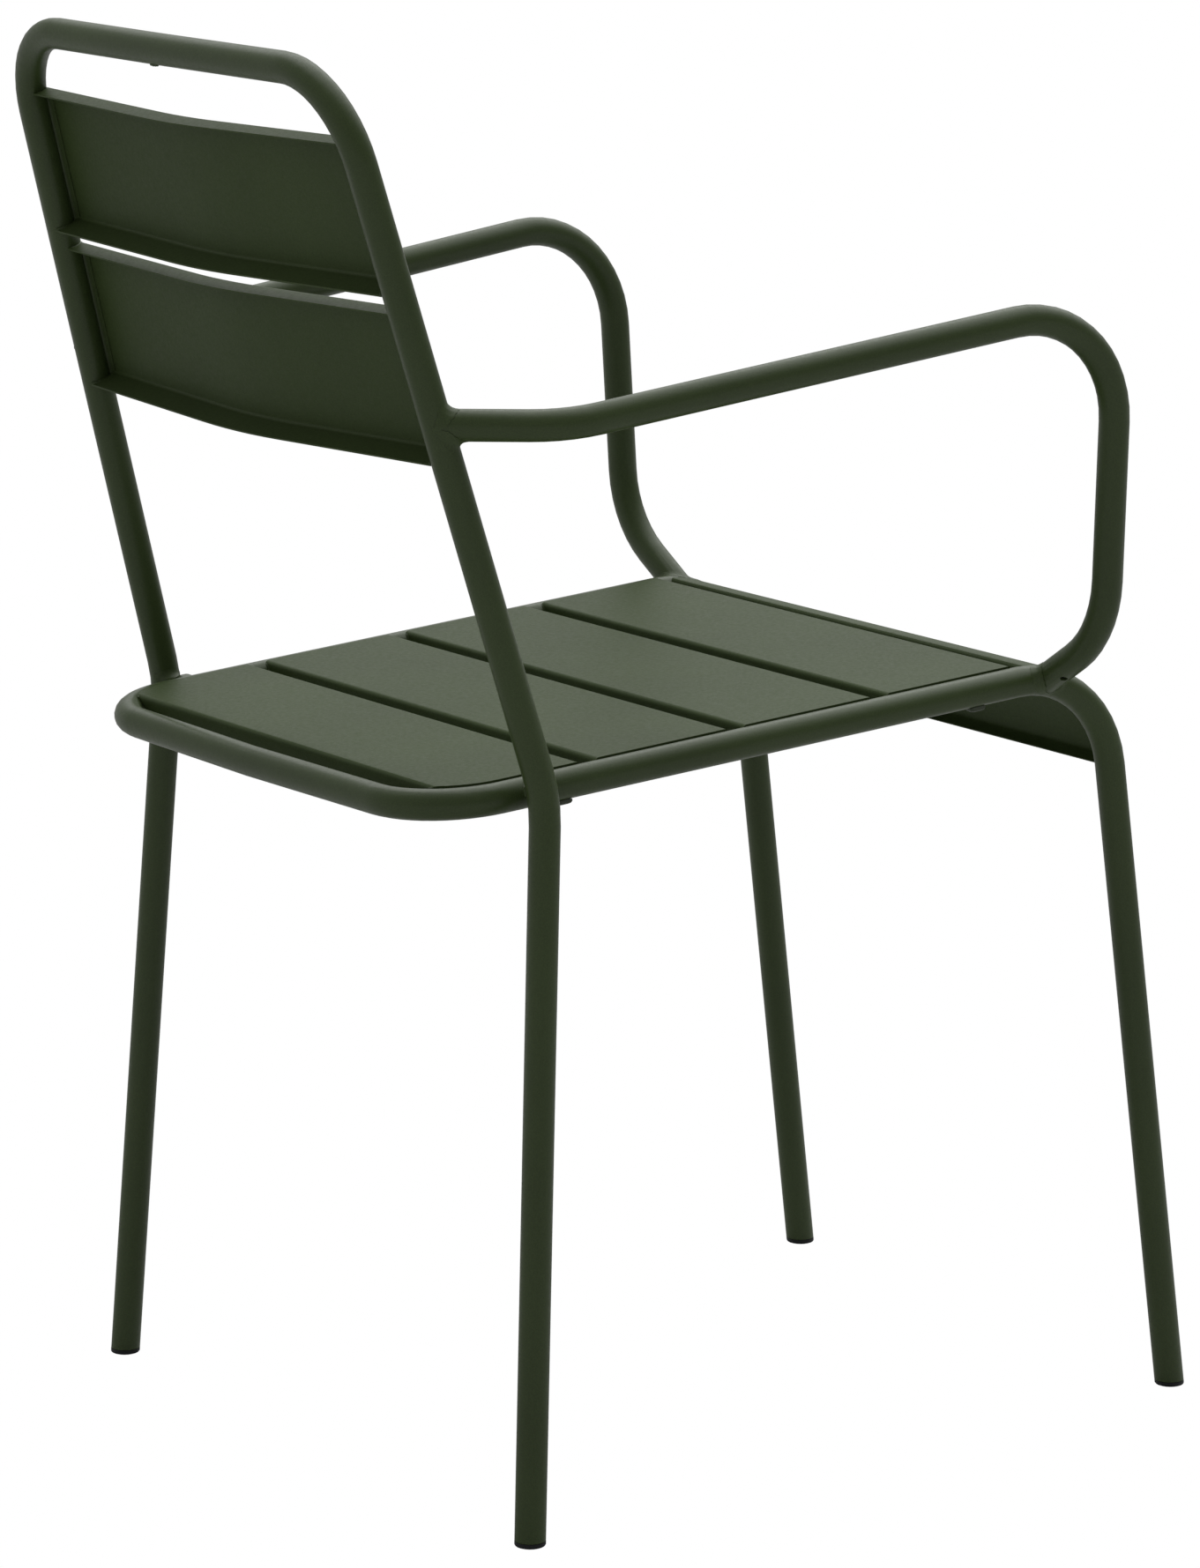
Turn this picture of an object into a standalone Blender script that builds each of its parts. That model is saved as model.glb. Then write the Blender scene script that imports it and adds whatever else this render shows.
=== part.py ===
"""Stacking armchair of bent steel tube with sheet steel seat and back slats.

Sizes are in millimetres and are turned into metres when a mesh is made. The chair faces -Y, the sitter's
left is +X, and the floor is z = 0.
"""

import math

import bmesh
import bpy
import numpy as np
from mathutils import Vector

# Driving dimensions -------------------------------------------------------------------------------------
TUBE_R = 9.0            # outer radius of every tube
BORE_R = 7.5            # 1.5 mm wall
GAP = 0.3               # weld gap between neighbouring pieces
SHEET = 1.0             # sheet thickness of every slat
BEND = 2.8              # outer radius of a sheet bend
LAP = 3.6               # a slat stops this far inboard of the tube centre line
LIFT = 9.6              # outer face of a slat above (or in front of) the tube centre line

# Back frame: foot, knee at the seat, top corner
HOOP_FOOT = (226.5, 247.3, 0.0)
HOOP_KNEE = (205.6, 222.8, 424.3)
HOOP_TOP = (174.1, 337.3, 828.3)
HOOP_KNEE_R, HOOP_TOP_R = 94.0, 55.6
TOP_BOW = 2.0

# Seat frame: front foot, front knee, rear corner
LEG_FOOT = (191.7, -247.4, 0.0)
LEG_KNEE = (185.1, -187.4, 454.4)
SEAT_REAR = (180.3, 284.8)
SEAT_PITCH = 0.076      # fall of the seat per unit of depth
LEG_KNEE_R, SEAT_REAR_R = 65.2, 51.0
REAR_BOW = 3.7

# Arm: the corners of its centre line, from the upright round to the seat frame
ARM_POINTS = ((189.1, 282.9, 636.5), (233.3, 227.3, 637.0), (257.8, -137.5, 683.7),
              (245.1, -142.0, 485.6), (186.4, -144.3, 449.0))
ARM_RADII = (64.8, 64.7, 63.6)
VENT_R = 2.3

# Seat slats: front face and rear face along the seat, depth of the flanges
SEAT_SLATS = {"seat_slat_front": (-124.8, -33.6), "seat_slat_second": (-23.4, 68.4),
              "seat_slat_third": (78.4, 170.4), "seat_slat_rear": (180.6, 270.0)}
SEAT_FLANGE = 14.0

# Front apron: it follows the knee of the front legs
APRON_OUT = 8.4         # outer face beyond the centre line of the bend
APRON_REAR_FLANGE = 10.0
APRON_START, APRON_END = 0.128, 1.444
APRON_FOLD, APRON_FOLD_R, APRON_LIP = 62.0, 5.0, 6.0

# Back slats: lower edge and upper edge up the back, and how far their flanges reach rearward
BACK_SLATS = {"back_slat_lower": (198.6, 284.6), "back_slat_upper": (296.1, 381.3)}
BACK_TOP_REACH, BACK_LOW_REACH, BACK_LOW_DROP = 3.2, 7.0, 2.4
BACK_WING, BACK_WING_FADE, BACK_WING_R = 0.070, 0.000095, 1150.0

FOOT_H, FOOT_PLUG, FOOT_PLUG_R = 3.0, 22.0, 6.7
PADS = {"rear": 196.5, "front": -94.4}   # stacking pads, along the side rails
PAD_LENGTH, PAD_WIDTH, PAD_DROP = 11.0, 8.0, 2.5
SPACER_AT, SPACER_LENGTH, SPACER_HEIGHT = 216.0, 12.0, 12.0

SIDES, BORE_SIDES = 20, 14
MM = 0.001


# Geometry helpers ---------------------------------------------------------------------------------------
def unit(v):
    return v / np.linalg.norm(v)


def rounded(points, radii, degrees=8.0):
    """The points of a polyline whose inner corners are arcs of the given radii."""
    points = [np.array(p, float) for p in points]
    line = [points[0]]
    for before, corner, after, radius in zip(points, points[1:], points[2:], radii):
        u, v = unit(before - corner), unit(after - corner)
        turn = math.pi - math.acos(np.clip(u @ v, -1, 1))
        start = corner + u * radius * math.tan(turn / 2)
        centre = corner + unit(u + v) * radius / math.cos(turn / 2)
        first = unit(start - centre)
        second = unit(-u)
        steps = max(2, math.ceil(math.degrees(turn) / degrees))
        for k in range(steps + 1):
            a = turn * k / steps
            line.append(centre + radius * (math.cos(a) * first + math.sin(a) * second))
    return np.array(line + [points[-1]])


def mirrored(half):
    """A line that ends on x = 0, carried on to the other side."""
    other = half[:-1][::-1] * (-1, 1, 1)
    return np.vstack([half, other])


def frames(line):
    """A tangent and two normals at each point, the normals turning as little as possible."""
    steps = np.diff(line, axis=0)
    tangents = np.vstack([steps[:1], steps[:-1] / np.linalg.norm(steps[:-1], axis=1)[:, None]
                          + steps[1:] / np.linalg.norm(steps[1:], axis=1)[:, None], steps[-1:]])
    tangents = tangents / np.linalg.norm(tangents, axis=1)[:, None]
    normal = unit(np.cross(tangents[0], (0.31, 0.17, 0.93)))
    found = []
    for t in tangents:
        normal = unit(normal - t * (normal @ t))
        found.append((t, normal, np.cross(t, normal)))
    return found


def rings(line, radius, sides, level_ends=None):
    """Rings of points round a line. level_ends is the height at which both ends are cut level."""
    made = []
    for point, (_, a, b) in zip(line, frames(line)):
        turns = np.arange(sides) * 2 * math.pi / sides
        made.append(point + radius * (np.outer(np.cos(turns), a) + np.outer(np.sin(turns), b)))
    if level_ends is not None:
        for ring, along in ((made[0], line[1] - line[0]), (made[-1], line[-1] - line[-2])):
            ring += np.outer((level_ends - ring[:, 2]) / along[2], along)
    return made


def new_object(name, verts, faces):
    mesh = bpy.data.meshes.new(name)
    mesh.from_pydata([Vector(v) * MM for v in verts], [], faces)
    obj = bpy.data.objects.new(name, mesh)
    bpy.context.scene.collection.objects.link(obj)
    tool = bmesh.new()
    tool.from_mesh(mesh)
    bmesh.ops.recalc_face_normals(tool, faces=tool.faces)
    tool.to_mesh(mesh)
    tool.free()
    return obj


def skin(layers, first):
    """Faces between neighbouring rings of equal length, numbered from first."""
    n = len(layers[0])
    return [(first + k * n + i, first + k * n + (i + 1) % n,
             first + (k + 1) * n + (i + 1) % n, first + (k + 1) * n + i)
            for k in range(len(layers) - 1) for i in range(n)]


def loft(name, layers):
    """A closed solid through the rings."""
    n, total = len(layers[0]), len(layers) * len(layers[0])
    faces = skin(layers, 0) + [tuple(range(n)), tuple(range(total - n, total))]
    return new_object(name, np.vstack(layers), faces)


def cut(obj, *cutters):
    """Takes the cutters away from obj and removes them."""
    for cutter in cutters:
        step = obj.modifiers.new("cut", "BOOLEAN")
        step.operation, step.solver, step.object = "DIFFERENCE", "EXACT", cutter
    graph = bpy.context.evaluated_depsgraph_get()
    made = bpy.data.meshes.new_from_object(obj.evaluated_get(graph))
    old = obj.data
    obj.modifiers.clear()
    obj.data = made
    made.name = obj.name
    bpy.data.meshes.remove(old)
    for cutter in cutters:
        bpy.data.objects.remove(cutter)
    return obj


def tube(name, line, level_ends=None):
    """A tube open at both ends: the outer skin, the bore, and a rim at each end."""
    body = loft(name, rings(line, TUBE_R, SIDES, level_ends))
    longer = line.copy()
    longer[0] += 3 * unit(line[0] - line[1])
    longer[-1] += 3 * unit(line[-1] - line[-2])
    return cut(body, loft("bore", rings(longer, BORE_R, BORE_SIDES)))


def clearance(line):
    """A solid bar that leaves the weld gap round a tube."""
    return loft("clearance", rings(line, TUBE_R + GAP, SIDES))


def arc(centre, radius, start, end, steps):
    angles = np.radians(np.linspace(start, end, steps + 1))
    return [(centre[0] + radius * math.cos(a), centre[1] + radius * math.sin(a)) for a in angles]


def channel(front, rear, front_depth, rear_depth, face):
    """Outline of a sheet folded down along both edges: along the sheet, and up from its inner side."""
    inner = BEND - SHEET
    outer = arc((rear - BEND, face - BEND), BEND, 90, 0, 4) + [(rear, face - rear_depth),
            (rear - SHEET, face - rear_depth)] + arc((rear - BEND, face - BEND), inner, 0, 90, 4)
    back = arc((front + BEND, face - BEND), inner, 90, 180, 4) + [(front + SHEET, face - front_depth),
            (front, face - front_depth)] + arc((front + BEND, face - BEND), BEND, 180, 90, 4)
    return outer + back


# Centre lines -------------------------------------------------------------------------------------------
def seat_point(x, u, w):
    """A point of the sloping seat: across, along the seat, and up from the plane of the tube centres."""
    slope = math.atan(SEAT_PITCH)
    height = LEG_KNEE[2] - (0 - LEG_KNEE[1]) * SEAT_PITCH
    return (x, u * math.cos(slope) + w * math.sin(slope), height - u * math.sin(slope) + w * math.cos(slope))


def seat_line():
    knee = np.array(LEG_KNEE)
    corner = np.array((*SEAT_REAR, knee[2] - (SEAT_REAR[1] - knee[1]) * SEAT_PITCH))
    middle = corner * (0, 1, 1) + (0, REAR_BOW, -REAR_BOW * SEAT_PITCH)
    points = [LEG_FOOT, knee, corner, middle]
    half = rounded(points, [LEG_KNEE_R, SEAT_REAR_R])
    return mirrored(half)


def rail_x(u):
    """Distance from the middle to the centre line of a side rail, at u along the seat."""
    slope = (SEAT_REAR[0] - LEG_KNEE[0]) / (SEAT_REAR[1] - LEG_KNEE[1])
    return LEG_KNEE[0] + (u * math.cos(math.atan(SEAT_PITCH)) - LEG_KNEE[1]) * slope


def hoop_line():
    top = np.array(HOOP_TOP)
    middle = top * (0, 1, 1) + (0, TOP_BOW, 0)
    return mirrored(rounded([HOOP_FOOT, HOOP_KNEE, top, middle], [HOOP_KNEE_R, HOOP_TOP_R]))


def arm_line(side):
    line = rounded(ARM_POINTS, ARM_RADII)
    return line * (side, 1, 1)


BACK_FOOT = np.array(HOOP_KNEE) * (0, 1, 1)
BACK_UP = unit(np.array(HOOP_TOP) * (0, 1, 1) - BACK_FOOT)
BACK_OUT = np.array((0, BACK_UP[2], -BACK_UP[1]))
BACK_LENGTH = np.linalg.norm(np.array(HOOP_TOP) * (0, 1, 1) - BACK_FOOT)


def half_width(s):
    """Distance from the middle to the centre line of an upright, at s up the back."""
    return HOOP_KNEE[0] + (HOOP_TOP[0] - HOOP_KNEE[0]) * s / BACK_LENGTH


def bow(x, s):
    """How far a back slat stands rearward of its ends: two straight wings joined by a wide bend."""
    wing = BACK_WING - BACK_WING_FADE * (s - 200)

    def depth(across):
        reach = BACK_WING_R * math.tan(wing / 2)
        if across > reach:
            return -across * math.tan(wing)
        radius = reach / math.sin(wing)
        return -reach * math.tan(wing) + math.sqrt(radius**2 - across**2) - radius * math.cos(wing)

    return depth(abs(x)) - depth(half_width(s))


def back_point(x, s, d):
    """A point of the back: across, up the back, and rearward from the plane of the uprights."""
    return BACK_FOOT + np.array((x, 0, 0)) + s * BACK_UP + (d + bow(x, s)) * BACK_OUT


# Pieces -------------------------------------------------------------------------------------------------
def build_frames():
    tube("back_frame_tube", hoop_line(), FOOT_H + GAP)
    tube("seat_frame_tube", seat_line(), FOOT_H + GAP)


def build_arms():
    for side, name in ((1, "left"), (-1, "right")):
        line = arm_line(side)
        arm = tube("arm_tube_" + name, line)
        cut(arm, clearance(hoop_line()), clearance(seat_line()))
        # a drain hole low on the arm, just above its weld to the seat frame
        along = unit(line[-2] - line[-1])
        spot = line[-1] + 23.0 * along
        out = unit(np.array((side * 0.467, 0.397, -0.787)))
        out = unit(out - along * (out @ along))
        cut(arm, loft("drain", rings(np.array([spot + 2 * out, spot + 14 * out]), VENT_R, 12)))


def build_seat_slats():
    for name, (front, rear) in SEAT_SLATS.items():
        outline = channel(front, rear, SEAT_FLANGE, SEAT_FLANGE, LIFT)
        slat = loft(name, [np.array([seat_point(side * (rail_x(u) - LAP), u, w) for u, w in outline])
                           for side in (-1, 1)])
        cutters = [clearance(seat_line())]
        if name == "seat_slat_rear":
            # its rear corners follow the corners of the frame
            cu = SEAT_REAR[1] / math.cos(math.atan(SEAT_PITCH)) - SEAT_REAR_R
            cx = rail_x(cu) - SEAT_REAR_R
            for side in (-1, 1):
                curve = arc((cx, cu), SEAT_REAR_R - LAP, 0, 90, 12)
                corner = curve + [(cx, cu + 70), (cx + 70, cu + 70), (cx + 70, cu)]
                cutters.append(loft("corner", [np.array([seat_point(side * x, u, w) for x, u in corner])
                                               for w in (-9, 14)]))
        cut(slat, *cutters)


def build_apron():
    """A sheet that follows the front bend of the frame, folded at its rear edge and at its lower edge."""
    knee = np.array(LEG_KNEE) * (0, 1, 1)
    rail, leg = unit(np.array((0, 1, -SEAT_PITCH))), unit(np.array(LEG_FOOT) * (0, 1, 1) - knee)
    turn = math.pi - math.acos(rail @ leg)
    centre = knee + unit(rail + leg) * LEG_KNEE_R / math.cos(turn / 2)
    up = unit(knee + rail * LEG_KNEE_R * math.tan(turn / 2) - centre)
    outer = LEG_KNEE_R + APRON_OUT

    def spoke(angle):
        """Directions at an angle round the bend: outward, and onward."""
        return (math.cos(angle) * up - math.sin(angle) * rail, -math.sin(angle) * up - math.cos(angle) * rail)

    out, onward = spoke(APRON_START)
    fold = centre + (outer - BEND) * out
    path = [fold - BEND * onward - (APRON_REAR_FLANGE - BEND) * out]
    path += [fold + BEND * (math.sin(a) * out - math.cos(a) * onward) for a in np.radians((0, 30, 60))]
    path += [centre + outer * spoke(a)[0] for a in np.linspace(APRON_START, APRON_END, 15)]
    out, onward = spoke(APRON_END)
    fold = centre + (outer - APRON_FOLD_R) * out
    path += [fold + APRON_FOLD_R * (math.cos(a) * out + math.sin(a) * onward)
             for a in np.radians(np.linspace(0, APRON_FOLD, 5))[1:]]
    last = math.radians(APRON_FOLD)
    path.append(path[-1] + APRON_LIP * (math.cos(last) * onward - math.sin(last) * out))
    path = np.array(path)
    steps = np.diff(path, axis=0)
    steps /= np.linalg.norm(steps, axis=1)[:, None]
    along = np.vstack([steps[:1], steps[:-1] + steps[1:], steps[-1:]])
    inward = np.cross(along, (1, 0, 0))
    inward /= np.linalg.norm(inward, axis=1)[:, None]
    if inward[8] @ up > 0:
        inward = -inward
    outline = np.vstack([path, (path + SHEET * inward)[::-1]])
    wide = LEG_KNEE[0] - 3.0
    cut(loft("front_apron", [outline + (x, 0, 0) for x in (-wide, wide)]), clearance(seat_line()))


def build_back_slats():
    for name, (low, high) in BACK_SLATS.items():
        top, bottom = BACK_TOP_REACH + LIFT, BACK_LOW_REACH + LIFT
        # s runs up the back, the second number runs forward
        outline = np.array(channel(low, high, bottom, top, LIFT))
        # the lower flange opens downward a little
        deep = np.clip((LIFT - BEND - outline[:, 1]) / (bottom - BEND), 0, 1)
        outline[:, 0] += np.where(outline[:, 0] < low + BEND + 0.01, BACK_LOW_DROP * (1 - deep), 0)
        layers = []
        for share in np.concatenate([np.linspace(-1, -0.3, 3), np.linspace(-0.22, 0.22, 7), np.linspace(0.3, 1, 3)]):
            layers.append(np.array([back_point(share * (half_width(s) - LAP), s, -forward) for s, forward in outline]))
        slat = loft(name, layers)
        cutters = [clearance(hoop_line())]
        if name == "back_slat_lower":
            cutters += [clearance(arm_line(side)) for side in (-1, 1)]
        cut(slat, *cutters)


def build_feet():
    for which, foot, knee in (("rear", HOOP_FOOT, HOOP_KNEE), ("front", LEG_FOOT, LEG_KNEE)):
        for side, name in ((1, "left"), (-1, "right")):
            a, b = np.array(foot) * (side, 1, 1), np.array(knee) * (side, 1, 1)
            along = (b - a) / (b - a)[2]
            turns = np.arange(SIDES) * 2 * math.pi / SIDES
            circle = np.stack([np.cos(turns), np.sin(turns), 0 * turns], axis=-1)
            profile = ((0, 7.6), (0.35, 8.5), (1.0, 9.0), (FOOT_H, 9.0), (FOOT_H, FOOT_PLUG_R),
                       (FOOT_PLUG - 2, FOOT_PLUG_R), (FOOT_PLUG, FOOT_PLUG_R - 1.5))
            loft("foot_cap_%s_%s" % (which, name), [a + along * z + circle * r for z, r in profile])


def rounded_rectangle(half_a, half_b, radius):
    ring = []
    for a, b, start in ((1, 1, 0), (-1, 1, 90), (-1, -1, 180), (1, -1, 270)):
        ring += arc((a * (half_a - radius), b * (half_b - radius)), radius, start, start + 90, 4)
    return ring


def build_pads():
    """Rounded plastic blocks under the side rails, hollowed to fit the tube."""
    for which, u in PADS.items():
        for side, name in ((1, "left"), (-1, "right")):
            layers = []
            for w, inset in ((-TUBE_R - PAD_DROP, 1.8), (-TUBE_R - PAD_DROP + 0.5, 0.7),
                             (-TUBE_R - PAD_DROP + 1.5, 0), (-5.5, 0)):
                ring = rounded_rectangle(PAD_WIDTH / 2 - inset, PAD_LENGTH / 2 - inset, 2.2 - inset / 2)
                layers.append(np.array([seat_point(side * rail_x(u) + a, u + b, w) for a, b in ring]))
            cut(loft("stack_pad_%s_%s" % (which, name), layers), clearance(seat_line()))


def build_spacers():
    """Steel blocks that hold the rear legs off the side rails, so that the legs clear the chair below."""
    ring = rounded_rectangle(SPACER_LENGTH / 2, SPACER_HEIGHT / 2, 4.0)
    for side, name in ((1, "left"), (-1, "right")):
        layers = [np.array([seat_point(side * x, SPACER_AT + a, w) for a, w in ring])
                  for x in (rail_x(SPACER_AT) + 6.5, HOOP_KNEE[0] - 6.5)]
        cut(loft("leg_spacer_" + name, layers), clearance(seat_line()), clearance(hoop_line()))


# Materials ----------------------------------------------------------------------------------------------
def material(name, colour, roughness):
    made = bpy.data.materials.new(name)
    made.use_nodes = True
    shader = made.node_tree.nodes["Principled BSDF"]
    shader.inputs["Base Color"].default_value = (*colour, 1)
    shader.inputs["Roughness"].default_value = roughness
    return made


def finish_objects():
    """Gives each piece its own material, shades the round faces smooth, and centres the chair over the origin."""
    paint, plastic = (0.036, 0.050, 0.030), (0.012, 0.014, 0.015)
    nodes = [o for o in bpy.context.scene.collection.objects if o.type == "MESH"]
    low = np.min([np.min([v.co for v in o.data.vertices], axis=0) for o in nodes], axis=0)
    high = np.max([np.max([v.co for v in o.data.vertices], axis=0) for o in nodes], axis=0)
    middle = Vector(((low[0] + high[0]) / 2, (low[1] + high[1]) / 2, 0))
    for obj in nodes:
        is_plastic = obj.name.startswith(("foot_cap", "stack_pad"))
        obj.data.materials.clear()
        obj.data.materials.append(material(obj.name + "_finish", plastic if is_plastic else paint,
                                           0.5 if is_plastic else 0.45))
        for vertex in obj.data.vertices:
            vertex.co -= middle
        for face in obj.data.polygons:
            face.use_smooth, face.material_index = True, 0
        obj.data.set_sharp_from_angle(angle=math.radians(32))


for old in list(bpy.data.objects):
    bpy.data.objects.remove(old)
build_frames()
build_arms()
build_seat_slats()
build_apron()
build_back_slats()
build_feet()
build_pads()
build_spacers()
finish_objects()
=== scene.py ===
"""The look of the stacking armchair: powder coat, plastic, welds and small marks, and the studio it stands in.

Lengths are in millimetres, in part.py's coordinates, and loft() turns them into metres. The floor and the textures
are in metres.
"""

import math

import bmesh
import bpy
import numpy as np
from mathutils import Matrix, Vector, noise


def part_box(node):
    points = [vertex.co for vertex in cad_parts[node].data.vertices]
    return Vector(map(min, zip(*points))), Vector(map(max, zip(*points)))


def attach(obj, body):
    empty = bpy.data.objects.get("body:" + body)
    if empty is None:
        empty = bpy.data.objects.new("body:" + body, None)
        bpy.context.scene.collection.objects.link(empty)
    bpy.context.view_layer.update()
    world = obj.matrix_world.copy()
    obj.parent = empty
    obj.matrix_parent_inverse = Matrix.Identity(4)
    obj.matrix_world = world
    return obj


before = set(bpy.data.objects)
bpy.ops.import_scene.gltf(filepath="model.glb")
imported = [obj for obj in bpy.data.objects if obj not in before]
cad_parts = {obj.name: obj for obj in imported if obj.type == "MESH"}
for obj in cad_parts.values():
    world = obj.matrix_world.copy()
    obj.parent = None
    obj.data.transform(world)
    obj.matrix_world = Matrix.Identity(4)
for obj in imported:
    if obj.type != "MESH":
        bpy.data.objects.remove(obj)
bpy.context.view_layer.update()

# The CAD's driving dimensions, as part.py has them ----------------------------------------------------
TUBE_R = 9.0
GAP = 0.3                 # weld gap between neighbouring pieces
LAP = 3.6                 # a slat stops this far inboard of the tube's centre line
FOOT_CAP_MIDDLE = 11.0    # height of a foot cap's middle
SPACER_AT = 216.0         # a leg spacer's place along the side rail

# back frame: foot, knee at the seat, top corner
HOOP_FOOT, HOOP_KNEE, HOOP_TOP = (226.5, 247.3, 0.0), (205.6, 222.8, 424.3), (174.1, 337.3, 828.3)
HOOP_KNEE_R, HOOP_TOP_R, TOP_BOW = 94.0, 55.6, 2.0

# seat frame: front foot, front knee, rear corner
LEG_FOOT, LEG_KNEE, SEAT_REAR = (191.7, -247.4, 0.0), (185.1, -187.4, 454.4), (180.3, 284.8)
SEAT_PITCH, LEG_KNEE_R, SEAT_REAR_R, REAR_BOW = 0.076, 65.2, 51.0, 3.7

# arms: from the upright to the seat frame
ARM_POINTS = ((189.1, 282.9, 636.5), (233.3, 227.3, 637.0), (257.8, -137.5, 683.7),
              (245.1, -142.0, 485.6), (186.4, -144.3, 449.0))
ARM_RADII = (64.8, 64.7, 63.6)

# slats: first and last edge, along the seat and up the back
SEAT_SLATS = {"front": (-124.8, -33.6), "second": (-23.4, 68.4), "third": (78.4, 170.4), "rear": (180.6, 270.0)}
BACK_SLATS = {"lower": (198.6, 284.6), "upper": (296.1, 381.3)}

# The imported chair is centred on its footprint: how far the rear foot moved tells the shift.
MM = 0.001
foot_low, foot_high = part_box("foot_cap_rear_left")
foot_y = HOOP_FOOT[1] + (HOOP_KNEE[1] - HOOP_FOOT[1]) * FOOT_CAP_MIDDLE / HOOP_KNEE[2]
SHIFT_Y = (foot_low.y + foot_high.y) / (2 * MM) - foot_y

SIDES = (("left", False), ("right", True))    # each side, and whether it is the mirror of what is modelled


# Lines and points -------------------------------------------------------------------------------------
def unit(v):
    return v / np.linalg.norm(v)


def around(count):
    return [2 * math.pi * k / count for k in range(count)]


def rounded(points, radii, degrees=3.0):
    """A polyline through points, with each inner corner rounded to its radius."""
    points = [np.array(p, float) for p in points]
    line = [points[0]]
    for before, corner, after, radius in zip(points, points[1:], points[2:], radii):
        u, v = unit(before - corner), unit(after - corner)
        turn = math.pi - math.acos(np.clip(u @ v, -1, 1))
        start = corner + u * radius * math.tan(turn / 2)
        centre = corner + unit(u + v) * radius / math.cos(turn / 2)
        first, second = unit(start - centre), unit(-u)
        steps = max(2, math.ceil(math.degrees(turn) / degrees))
        for k in range(steps + 1):
            a = turn * k / steps
            line.append(centre + radius * (math.cos(a) * first + math.sin(a) * second))
    return np.array(line + [points[-1]])


def curve(start, bend, stop, count):
    """Points of a quadratic curve from start to stop that leans toward bend."""
    return [(1 - t) ** 2 * start + 2 * t * (1 - t) * bend + t * t * stop for t in np.linspace(0, 1, count)]


def nearest(line, point):
    """The nearest point of a polyline."""
    a, b = line[:-1], line[1:]
    d = b - a
    t = np.clip(((point - a) * d).sum(1) / (d * d).sum(1), 0, 1)
    found = a + d * t[:, None]
    return found[np.argmin(((found - point) ** 2).sum(1))]


def leaving(start, along, line):
    """Where a straight line that starts inside the tube round a centre line comes out of it."""
    low, high = -2.0, 40.0
    for _ in range(26):
        middle = (low + high) / 2
        point = start + along * middle
        if np.linalg.norm(point - nearest(line, point)) < TUBE_R:
            low = middle
        else:
            high = middle
    return start + along * high


def turns(low, high, radius, count=12):
    """Angles round a tube between two heights over its centre line."""
    return np.linspace(math.asin(low / radius), math.asin(high / radius), count)


def seat_point(x, u, w):
    """A point u along the seat's slope and w above the plane of the rails' centre lines."""
    slope = math.atan(SEAT_PITCH)
    height = LEG_KNEE[2] + LEG_KNEE[1] * SEAT_PITCH
    return np.array((x, u * math.cos(slope) + w * math.sin(slope),
                     height - u * math.sin(slope) + w * math.cos(slope)))


def rail_x(u):
    """The side rail's centre line at u along the seat."""
    slope = (SEAT_REAR[0] - LEG_KNEE[0]) / (SEAT_REAR[1] - LEG_KNEE[1])
    return LEG_KNEE[0] + (u * math.cos(math.atan(SEAT_PITCH)) - LEG_KNEE[1]) * slope


IN_MIDDLE = np.array((0, 1, 1))    # takes a point to the chair's middle plane
leg_foot, leg_knee, top = np.array(LEG_FOOT), np.array(LEG_KNEE), np.array(HOOP_TOP)
rear_corner = np.array((*SEAT_REAR, leg_knee[2] - (SEAT_REAR[1] - leg_knee[1]) * SEAT_PITCH))
rear_middle = rear_corner * IN_MIDDLE + (0, REAR_BOW, -REAR_BOW * SEAT_PITCH)
top_middle = top * IN_MIDDLE + (0, TOP_BOW, 0)
SEAT_LINE = rounded([leg_foot, leg_knee, rear_corner, rear_middle], [LEG_KNEE_R, SEAT_REAR_R])
HOOP_LINE = rounded([HOOP_FOOT, HOOP_KNEE, top, top_middle], [HOOP_KNEE_R, HOOP_TOP_R])
ARM_LINE = rounded(ARM_POINTS, ARM_RADII)

BACK_FOOT = np.array(HOOP_KNEE) * IN_MIDDLE
BACK_UP = unit(top * IN_MIDDLE - BACK_FOOT)
BACK_OUT = np.array((0, BACK_UP[2], -BACK_UP[1]))
BACK_LENGTH = np.linalg.norm(top * IN_MIDDLE - BACK_FOOT)


def back_point(x, s, out):
    """A point s up the slope of the back and out behind the plane of the uprights' centre lines."""
    return BACK_FOOT + (x, 0, 0) + s * BACK_UP + out * BACK_OUT


def half_width(s):
    """The upright's centre line at s up the back."""
    return HOOP_KNEE[0] + (HOOP_TOP[0] - HOOP_KNEE[0]) * s / BACK_LENGTH


# Materials --------------------------------------------------------------------------------------------
MIX_A, MIX_B, MIX_COLOUR = 6, 7, 2    # the colour sockets of a Mix node


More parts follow.
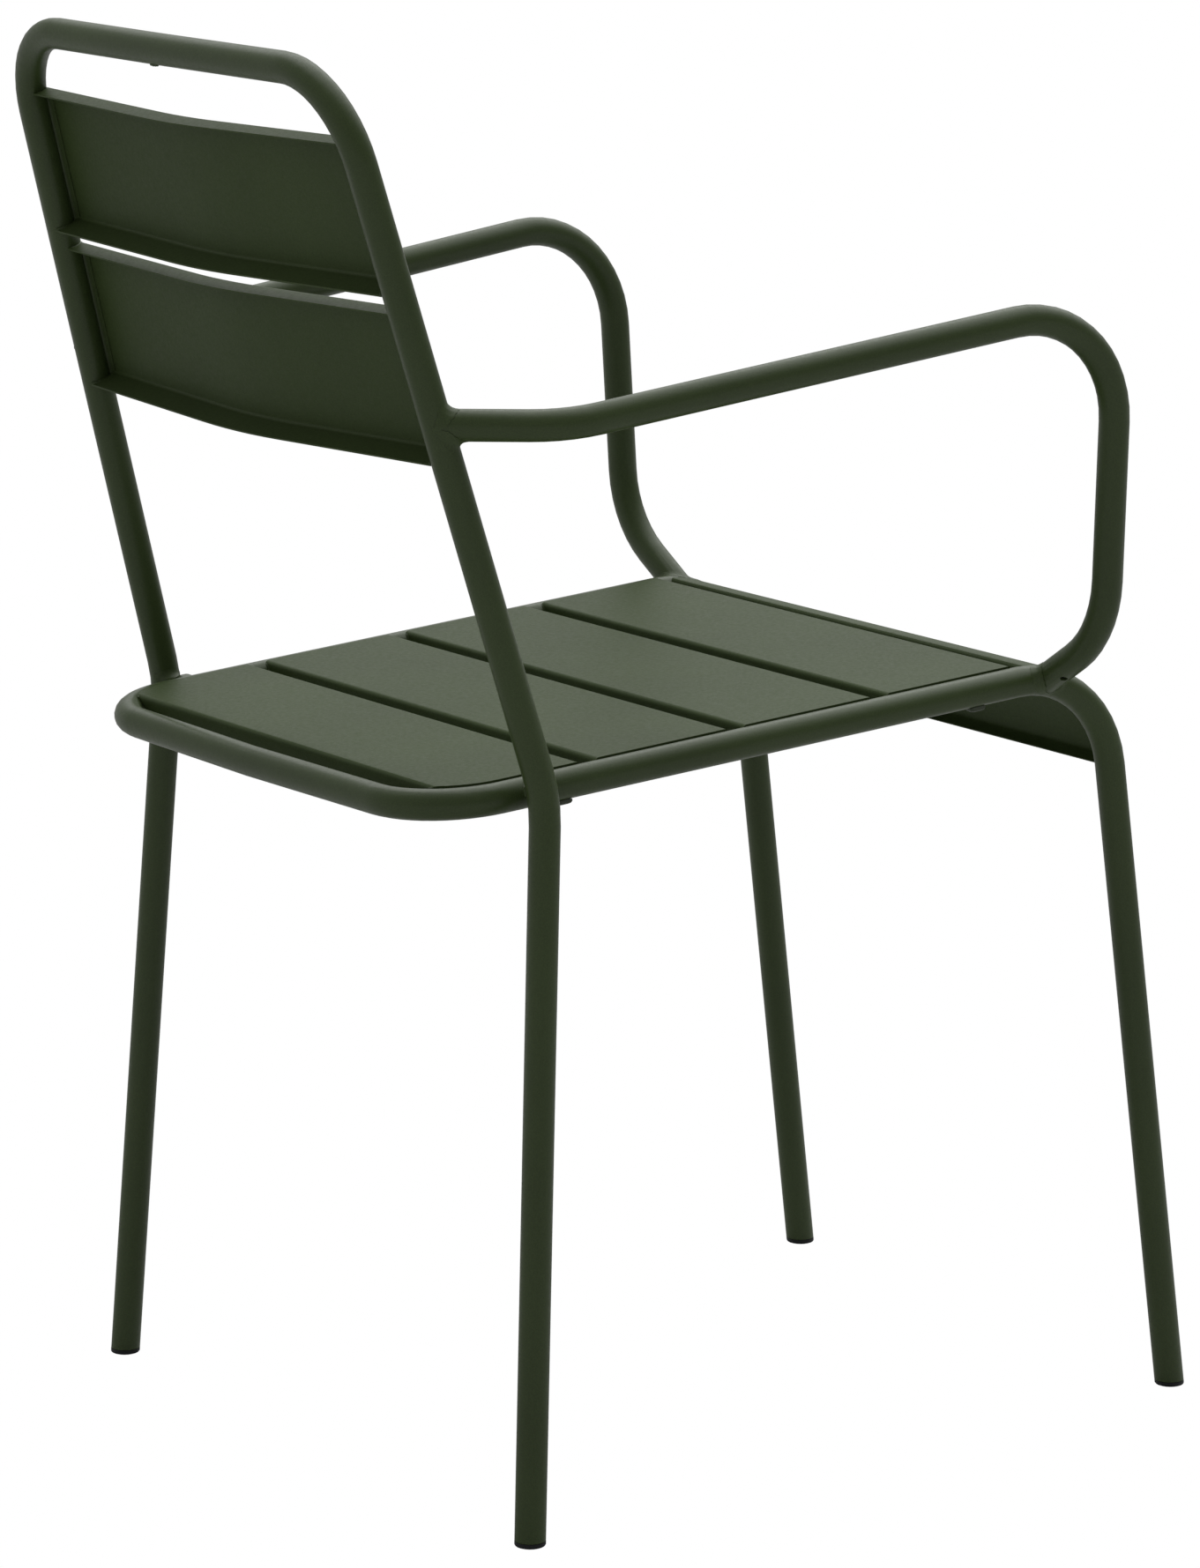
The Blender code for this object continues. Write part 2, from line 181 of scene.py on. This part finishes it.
def powder_coat(name, colour, roughness, grain=1.0, tint=0.0, gloss=0.30):
    """Satin powder coat: a fine grain, a slow orange peel, and a slight drift of colour and gloss."""
    made = bpy.data.materials.new(name)
    made.use_nodes = True
    tree = made.node_tree
    shader = tree.nodes["Principled BSDF"]
    shader.inputs["Specular IOR Level"].default_value = gloss
    where = tree.nodes.new("ShaderNodeTexCoord")

    def texture(scale, detail, rough=0.5):
        node = tree.nodes.new("ShaderNodeTexNoise")
        node.inputs["Scale"].default_value = scale
        node.inputs["Detail"].default_value = detail
        node.inputs["Roughness"].default_value = rough
        tree.links.new(where.outputs["Object"], node.inputs["Vector"])
        return node.outputs["Fac"]

    def ramp(source, low, high):
        """Spreads a noise, which stays mostly between 0.3 and 0.7, from low to high."""
        node = tree.nodes.new("ShaderNodeMapRange")
        node.inputs["From Min"].default_value, node.inputs["From Max"].default_value = 0.3, 0.7
        node.inputs["To Min"].default_value, node.inputs["To Max"].default_value = low, high
        tree.links.new(source, node.inputs["Value"])
        return node.outputs["Result"]

    def shaded(factor):
        return (*[c * factor for c in colour], 1)

    fine, peel = texture(scale=2600, detail=2, rough=0.6), texture(scale=420, detail=3)
    drift, speck = texture(scale=9, detail=4), texture(scale=1500, detail=1)

    # the colour drifts slowly between a darker and a lighter one, and fine specks lie over it
    colours = tree.nodes.new("ShaderNodeMix")
    colours.data_type = "RGBA"
    colours.inputs[MIX_A].default_value = shaded(0.90 - tint)
    colours.inputs[MIX_B].default_value = shaded(1.10 + tint)
    tree.links.new(ramp(drift, 0.1, 0.9), colours.inputs[0])
    shade = tree.nodes.new("ShaderNodeCombineColor")
    level = ramp(speck, 0.86, 1.14)
    for channel in ("Red", "Green", "Blue"):
        tree.links.new(level, shade.inputs[channel])
    grains = tree.nodes.new("ShaderNodeMix")
    grains.data_type, grains.blend_type = "RGBA", "MULTIPLY"
    grains.inputs[0].default_value = 1.0
    tree.links.new(colours.outputs[MIX_COLOUR], grains.inputs[MIX_A])
    tree.links.new(shade.outputs[0], grains.inputs[MIX_B])
    tree.links.new(grains.outputs[MIX_COLOUR], shader.inputs["Base Color"])
    tree.links.new(ramp(peel, roughness - 0.04, roughness + 0.05), shader.inputs["Roughness"])

    # the grain and the orange peel also raise the surface
    height = tree.nodes.new("ShaderNodeMath")
    height.operation = "MULTIPLY_ADD"
    height.inputs[1].default_value = 0.6
    tree.links.new(fine, height.inputs[0])
    tree.links.new(peel, height.inputs[2])
    bump = tree.nodes.new("ShaderNodeBump")
    bump.inputs["Strength"].default_value = 0.16 * grain
    bump.inputs["Distance"].default_value = 0.0003
    tree.links.new(height.outputs[0], bump.inputs["Height"])
    tree.links.new(bump.outputs["Normal"], shader.inputs["Normal"])
    return made


GREEN = (0.045, 0.067, 0.022)
tube_paint = powder_coat("tube_paint", GREEN, 0.37)
slat_paint = powder_coat("slat_paint", GREEN, 0.50, grain=1.2, gloss=0.11)
weld_paint = powder_coat("weld_paint", [c * 1.04 for c in GREEN], 0.44, grain=1.6, tint=0.04)
foot_plastic = powder_coat("foot_plastic", (0.014, 0.016, 0.017), 0.5, grain=0.7)
pad_plastic = powder_coat("pad_plastic", (0.048, 0.060, 0.036), 0.5, grain=0.8)


def node_finish(name):
    """The material and the slot of a CAD node."""
    if name.startswith("foot_cap"):
        return foot_plastic, "foot_plastic"
    if name.startswith("stack_pad"):
        return pad_plastic, "pad_plastic"
    if "slat" in name or "apron" in name:
        return slat_paint, "slat_paint"
    return tube_paint, "frame_paint"


# Meshes -----------------------------------------------------------------------------------------------
def smooth(mesh, limit=math.radians(42)):
    """Blends the normals across the soft edges of a faceted mesh and leaves its sharp edges alone."""
    corner_vertex = np.empty(len(mesh.loops), int)
    mesh.loops.foreach_get("vertex_index", corner_vertex)
    places = np.empty(len(mesh.vertices) * 3)
    mesh.vertices.foreach_get("co", places)
    keys = np.round(places.reshape(-1, 3) * 1e6).astype(np.int64)
    meeting = {}
    for face in mesh.polygons:
        for corner in face.loop_indices:
            meeting.setdefault(tuple(keys[corner_vertex[corner]]), []).append(face.index)
    normals = [np.array(face.normal) for face in mesh.polygons]
    areas = [face.area for face in mesh.polygons]
    blended = [None] * len(mesh.loops)
    for face in mesh.polygons:
        own = normals[face.index]
        for corner in face.loop_indices:
            total = sum(normals[k] * areas[k] for k in set(meeting[tuple(keys[corner_vertex[corner]])])
                        if own @ normals[k] > math.cos(limit))
            length = np.linalg.norm(total)
            blended[corner] = total / length if length else own
        face.use_smooth = True
    mesh.normals_split_custom_set(blended)


def loft(name, sections, flip=False, closed=False):
    """A piece of painted metal through sections of equally many points, capped unless it closes into a ring."""
    count, n = len(sections), len(sections[0])
    faces = [(k * n + i, k * n + (i + 1) % n, (k + 1) % count * n + (i + 1) % n, (k + 1) % count * n + i)
             for k in range(count if closed else count - 1) for i in range(n)]
    if not closed:
        faces += [tuple(range(n)), tuple(range((count - 1) * n, count * n))]
    mirror = np.array((-1 if flip else 1, 1, 1))
    verts = [Vector((point * mirror + (0, SHIFT_Y, 0)) * MM) for section in sections for point in section]
    mesh = bpy.data.meshes.new(name)
    mesh.from_pydata(verts, [], faces)
    obj = bpy.data.objects.new(name, mesh)
    bpy.context.scene.collection.objects.link(obj)
    tool = bmesh.new()
    tool.from_mesh(mesh)
    bmesh.ops.recalc_face_normals(tool, faces=tool.faces)
    tool.to_mesh(mesh)
    tool.free()
    smooth(mesh)
    mesh.materials.append(weld_paint)
    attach(obj, "root")


# Welds and marks --------------------------------------------------------------------------------------
BEAD_SIDES = 10
BEAD_END = 0.45           # a bead's end, as a share of its thickness
FILLET_SECTIONS = 72
SKIN = 0.05               # a fillet's edge stands this far off the tube
LAP_BEAD_IN = 1.3         # the bead under a seat slat's edge, from that edge
LAP_BEAD_UP = 8.1         # and above the rail's centre line
FLANGE_BEAD_R = 9.25      # the bead at a seat slat's flange, round the rail's centre line
BACK_BEAD_R = 9.3         # the bead at a back slat's flange, round the upright's centre line
APRON_BEAD_OUT = 7.4      # the apron's bead, outside the centre line of the front bend
LEG_AT_RAIL = (205.0, 222.0)    # where a rear leg passes the top of the side rail: x, and u along the seat


def bead(name, path, radius, ripple, flip=False, pitch=1.6):
    """A round bead along a path, swelling and thinning as a hand weld does."""
    path = np.array(path, float)
    lengths = np.concatenate([[0], np.cumsum(np.linalg.norm(np.diff(path, axis=0), axis=1))])
    at = np.linspace(0, lengths[-1], max(4, int(lengths[-1] / pitch)) + 1)
    line = np.stack([np.interp(at, lengths, path[:, k]) for k in range(3)], axis=1)
    tangents = np.vstack([line[1:], line[-1:]]) - np.vstack([line[:1], line[:-1]])
    sections, normal = [], np.array((0.31, 0.52, 0.79))    # no path runs along this direction
    for k, (point, tangent) in enumerate(zip(line, tangents)):
        tangent = unit(tangent)
        normal = unit(normal - tangent * (normal @ tangent))
        other = np.cross(tangent, normal)
        size = radius * (1 + ripple * noise.noise(Vector(point * 0.35)) + 0.4 * ripple * math.sin(k * 2.1))
        if k in (0, len(line) - 1):
            size *= BEAD_END
        sections.append([point + size * (math.cos(a) * normal + math.sin(a) * other)
                         for a in around(BEAD_SIDES)])
    loft(name, sections, flip)


def fillet(name, line, landed_on, reach, flip):
    """The weld round the first end of a tube, line, that lands on another tube."""
    end, along = line[0], unit(line[1] - line[0])
    side = unit(np.cross(along, (0.2, 0.3, 0.93)))
    up = np.cross(along, side)
    sections = []
    for a in around(FILLET_SECTIONS):
        out = math.cos(a) * side + math.sin(a) * up
        joint = leaving(end + TUBE_R * out, along, landed_on)
        grow = reach * (1 + 0.12 * noise.noise(Vector(joint * 0.22)) + 0.05 * math.sin(a * 17))
        on_arm = joint + along * grow + SKIN * out
        centre = nearest(landed_on, joint + out * grow)
        outward = unit(joint + out * grow - centre)
        on_other = centre + outward * (TUBE_R + SKIN)
        bend = joint + 0.06 * (on_arm + on_other - 2 * joint)
        inside = [centre + outward * (TUBE_R - 0.9), joint - 1.2 * out - 0.4 * along, on_arm - out]
        sections.append(curve(on_arm, bend, on_other, 7) + inside)
    loft(name, sections, flip, closed=True)


def seat_slat_welds(side, flip):
    """The seat slats lap over the rails: beads run under the edge of each lap and round each flange's end."""
    bend_starts = SEAT_REAR[1] - SEAT_REAR_R
    for key, (front, rear) in SEAT_SLATS.items():
        last = bend_starts + 5 if key == "rear" else rear - 2
        lap = [seat_point(rail_x(u) - LAP - LAP_BEAD_IN, u, LAP_BEAD_UP) for u in np.linspace(front + 2, last, 24)]
        bead("weld_slat_%s_%s" % (key, side), lap, 0.85, 0.25, flip)
        flanges = [("a", front + 0.9), ("b", rear - 0.9)]
        for end, u in flanges[:1] if key == "rear" else flanges:
            edge = [seat_point(rail_x(u) - FLANGE_BEAD_R * math.cos(a), u, FLANGE_BEAD_R * math.sin(a))
                    for a in turns(-4.0, 8.0, FLANGE_BEAD_R)]
            bead("weld_slat_%s_%s_%s" % (key, end, side), edge, 0.75, 0.2, flip)

    # the rear slat's lap goes on round the bend of the frame, up to the slat's rear edge
    cu = SEAT_REAR[1] / math.cos(math.atan(SEAT_PITCH)) - SEAT_REAR_R
    cx = rail_x(cu) - SEAT_REAR_R
    radius = SEAT_REAR_R - LAP - LAP_BEAD_IN
    stop = math.asin((SEAT_SLATS["rear"][1] - GAP - cu) / radius)
    corner = [seat_point(cx + radius * math.cos(a), cu + radius * math.sin(a), LAP_BEAD_UP)
              for a in np.linspace(-0.12, stop, 14)]
    bead("weld_slat_corner_" + side, corner, 0.85, 0.25, flip)


def back_slat_welds(side, flip):
    """The back slats lap over the front of the uprights: a hollow weld along each lap, a bead at each flange."""
    hollow = curve(np.array((6.9, -5.8)), np.array((7.1, -7.5)), np.array((10.8, -7.85)), 6)
    outline = hollow + [(10.8, -8.3), (5.2, -8.3), (5.6, -6.2)]    # inward of and behind the upright's centre line
    for key, (low, high) in BACK_SLATS.items():
        loft("weld_back_%s_%s" % (key, side),
             [[back_point(half_width(s) - inward, s, out) for inward, out in outline]
              for s in np.linspace(low + 3, high - 2, 16)], flip)
        for end, s, reach in (("top", high - 0.8, 3.2), ("low", low + 1.2, 7.0)):
            edge = [back_point(half_width(s) - BACK_BEAD_R * math.cos(a), s, BACK_BEAD_R * math.sin(a))
                    for a in turns(-8.0, reach, BACK_BEAD_R)]
            bead("weld_back_%s_%s_%s" % (key, end, side), edge, 1.1, 0.3, flip)


def apron_weld(side, flip):
    """The apron meets the tube along the whole front bend."""
    rail, leg = unit(np.array((0, 1, -SEAT_PITCH))), unit((leg_foot - leg_knee) * IN_MIDDLE)
    turn = math.pi - math.acos(rail @ leg)
    centre = leg_knee * IN_MIDDLE + unit(rail + leg) * LEG_KNEE_R / math.cos(turn / 2)
    up = unit(leg_knee * IN_MIDDLE + rail * LEG_KNEE_R * math.tan(turn / 2) - centre)
    edge = [centre + (LEG_KNEE_R + APRON_BEAD_OUT) * (math.cos(a) * up - math.sin(a) * rail)
            + (LEG_KNEE[0] - 5.6 + 0.9 * max(0, a - 0.9), 0, 0) for a in np.linspace(0.16, 1.44, 30)]
    bead("weld_apron_" + side, edge, 0.8, 0.25, flip)


def rear_leg_welds(side, flip):
    """A rear leg is welded to its spacer, the spacer to the rail, and a flared weld lies on top of the rail."""
    for end, x in (("rail", rail_x(SPACER_AT) + 8.4), ("leg", LEG_AT_RAIL[0] - 8.6)):
        line = [seat_point(x, SPACER_AT + 5.0 * math.cos(a), -1.0 - 6.0 * math.sin(a))
                for a in np.linspace(0.2, 2.9, 20)]
        bead("weld_spacer_%s_%s" % (end, side), line, 1.4, 0.3, flip)

    crossing = nearest(HOOP_LINE, seat_point(*LEG_AT_RAIL, TUBE_R))
    climb = unit(nearest(HOOP_LINE, crossing + (0, 8, 20)) - nearest(HOOP_LINE, crossing - (0, 0, 20)))
    inward = unit(np.array((-1.0, 0, 0)) + climb * climb[0])
    across = np.cross(climb, inward)
    sections = []
    for a in np.linspace(-1.25, 1.25, 32):
        out = math.cos(a) * inward + math.sin(a) * across
        reach = 0.5 + 3.2 * max(0.0, math.cos(a)) ** 8 + 0.4 * noise.noise(Vector(out * 3.1))
        rise = 3.6 * math.cos(a) + 0.7 * noise.noise(Vector(out * 2.3))
        high = crossing + out * (TUBE_R + SKIN) + climb * rise
        bend = crossing + out * (TUBE_R + 0.25) - climb * 0.2
        foot = crossing + out * (TUBE_R + reach) - climb
        inside = [foot - 3 * climb, crossing + out * (TUBE_R - 2) - 3 * climb, high - out]
        sections.append(curve(high, bend, foot, 7) + inside)
    loft("weld_upright_base_" + side, sections, flip)


def paint_run():
    """A run of paint hangs under the top rail, near its middle."""
    drip = [top_middle + (9.0 + 4.0 * t, 1.5, 0.1 - TUBE_R + 0.5 * t * t) for t in np.linspace(-1, 1, 7)]
    bead("paint_run_top_rail", drip, 0.9, 0.3, pitch=0.7)


# Studio -----------------------------------------------------------------------------------------------
FLOOR_HALF, FLOOR_DROP, PAPER_BOUNCE = 30.0, 0.0003, 0.50
SIDE_LIGHT, KEY_LIGHT, KEY_FROM = 0.34, 2.1, (0.24, -0.45, 0.86)
BRIGHT_SIDE = (0.95, 0.30, 0.0)


def white_to_camera(tree, lit, white, surface):
    """The camera sees white, and every other ray meets the softer surface that lights the chair."""
    rays, pick = tree.nodes.new("ShaderNodeLightPath"), tree.nodes.new("ShaderNodeMixShader")
    tree.links.new(rays.outputs["Is Camera Ray"], pick.inputs[0])
    tree.links.new(lit.outputs[0], pick.inputs[1])
    tree.links.new(white.outputs[0], pick.inputs[2])
    tree.links.new(pick.outputs[0], surface)


def paper_floor():
    made = bpy.data.materials.new("floor_paper")
    made.use_nodes = True
    tree = made.node_tree
    shader = tree.nodes["Principled BSDF"]
    shader.inputs["Base Color"].default_value = (PAPER_BOUNCE, PAPER_BOUNCE, PAPER_BOUNCE, 1)
    shader.inputs["Roughness"].default_value = 0.9
    glow = tree.nodes.new("ShaderNodeEmission")
    glow.inputs["Strength"].default_value = 1.0
    white_to_camera(tree, shader, glow, tree.nodes["Material Output"].inputs["Surface"])

    mesh = bpy.data.meshes.new("floor")
    corners = [(x * FLOOR_HALF, y * FLOOR_HALF, -FLOOR_DROP) for x, y in ((-1, -1), (1, -1), (1, 1), (-1, 1))]
    mesh.from_pydata(corners, [], [(0, 1, 2, 3)])
    mesh.materials.append(made)
    floor = bpy.data.objects.new("floor", mesh)
    bpy.context.scene.collection.objects.link(floor)
    return floor


def light_room():
    """A dim room, brighter on one side, with a broad key light from above and in front."""
    world = bpy.data.worlds.new("studio")
    bpy.context.scene.world = world
    world.use_nodes = True
    tree = world.node_tree
    tree.nodes.clear()
    direction = tree.nodes.new("ShaderNodeTexCoord")

    def toward(aim, start, stop, low, high, shape="LINEAR"):
        """A value that rises with how closely the ray looks along one direction."""
        dot, spread = tree.nodes.new("ShaderNodeVectorMath"), tree.nodes.new("ShaderNodeMapRange")
        dot.operation = "DOT_PRODUCT"
        dot.inputs[1].default_value = aim
        tree.links.new(direction.outputs["Generated"], dot.inputs[0])
        spread.interpolation_type = shape
        for key, value in (("From Min", start), ("From Max", stop), ("To Min", low), ("To Max", high)):
            spread.inputs[key].default_value = value
        tree.links.new(dot.outputs["Value"], spread.inputs["Value"])
        return spread.outputs["Result"]

    product = tree.nodes.new("ShaderNodeMath")
    product.operation = "MULTIPLY"
    tree.links.new(toward(KEY_FROM, 0.55, 0.97, SIDE_LIGHT, KEY_LIGHT, "SMOOTHSTEP"), product.inputs[0])
    tree.links.new(toward(BRIGHT_SIDE, -1.0, 1.0, 0.55, 1.45), product.inputs[1])
    room, backdrop = tree.nodes.new("ShaderNodeBackground"), tree.nodes.new("ShaderNodeBackground")
    tree.links.new(product.outputs[0], room.inputs["Strength"])
    room.inputs["Color"].default_value = backdrop.inputs["Color"].default_value = (1, 1, 1, 1)
    white_to_camera(tree, room, backdrop, tree.nodes.new("ShaderNodeOutputWorld").inputs["Surface"])


def set_camera(place, heading, tilt, roll):
    """A camera at place, in millimetres, with its angles in radians."""
    data = bpy.data.cameras.new("camera")
    camera = bpy.data.objects.new("camera", data)
    bpy.context.scene.collection.objects.link(camera)
    forward = np.array((math.cos(tilt) * math.cos(heading), math.cos(tilt) * math.sin(heading), math.sin(tilt)))
    level = unit(np.cross(forward, (0, 0, 1)))
    upright = np.cross(level, forward)
    right = math.cos(roll) * level + math.sin(roll) * upright
    upward = -math.sin(roll) * level + math.cos(roll) * upright
    camera.matrix_world = Matrix([[right[k], upward[k], -forward[k], place[k] * MM] for k in range(3)]
                                 + [[0, 0, 0, 1]])
    data.lens, data.sensor_width = 144.03, 36.0
    data.shift_x, data.shift_y = -0.0501, 0.03698
    data.clip_start, data.clip_end = 0.1, 60
    bpy.context.scene.camera = camera


# The chair in its studio ------------------------------------------------------------------------------
for name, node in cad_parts.items():
    smooth(node.data)
    finish, slot = node_finish(name)
    node.data.materials.clear()
    node.data.materials.append(finish)

for side, flip in SIDES:
    fillet("weld_arm_upright_" + side, ARM_LINE, HOOP_LINE, 5.8, flip)
    fillet("weld_arm_seat_" + side, ARM_LINE[::-1], SEAT_LINE, 4.6, flip)
    seat_slat_welds(side, flip)
    back_slat_welds(side, flip)
for side, flip in SIDES:
    apron_weld(side, flip)
for side, flip in SIDES:
    rear_leg_welds(side, flip)
paint_run()

floor = paper_floor()
light_room()
set_camera(place=(-3034.36, 2122.89 + SHIFT_Y, 1144.26), heading=-0.61334, tilt=-0.21503, roll=0.00451)
bpy.context.scene.view_settings.view_transform = "Standard"
